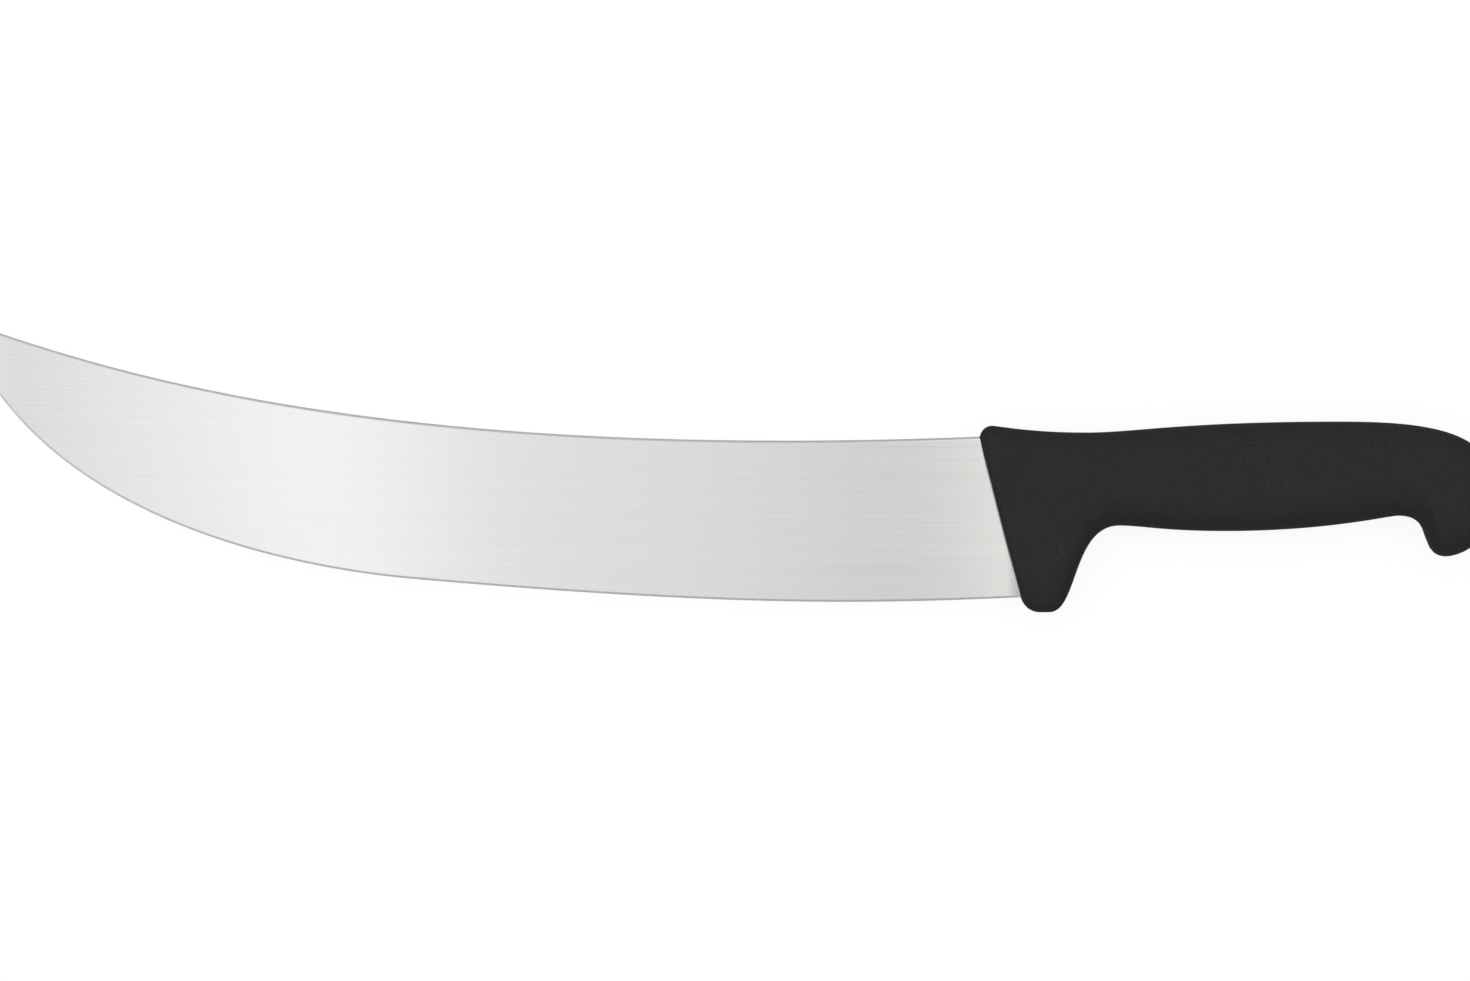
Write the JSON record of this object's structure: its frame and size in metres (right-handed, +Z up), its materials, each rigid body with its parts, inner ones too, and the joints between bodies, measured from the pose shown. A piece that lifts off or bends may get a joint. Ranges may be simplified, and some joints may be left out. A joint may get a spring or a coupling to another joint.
{
  "type": "butcher knife",
  "caption": "Long curved butcher's knife with an upswept brushed steel blade and a black moulded grip with finger guard and hooked butt, for slicing and trimming meat.",
  "frame": {"origin": "middle of the knife's box, on the surface that the knife lies on", "axes": "+X from the tip to the butt of the handle, +Y from the cutting edge to the spine, +Z up through the thickness of the knife as it lies on its side"},
  "size_m": [0.4486, 0.0856, 0.0205],
  "materials": {
    "brushed_blade_steel": "stainless steel, brushed lengthwise, with a finely ground cutting bevel",
    "hard_core_polymer": "hard dark grey polymer, as moulded, hidden inside the grip",
    "black_grip_skin": "black soft-touch moulded skin, matte, with a fine grain"
  },
  "bodies": {
    "root": {"blade": "brushed_blade_steel", "handle_core": "hard_core_polymer", "handle_grip": "black_grip_skin"}
  },
  "joints": []
}
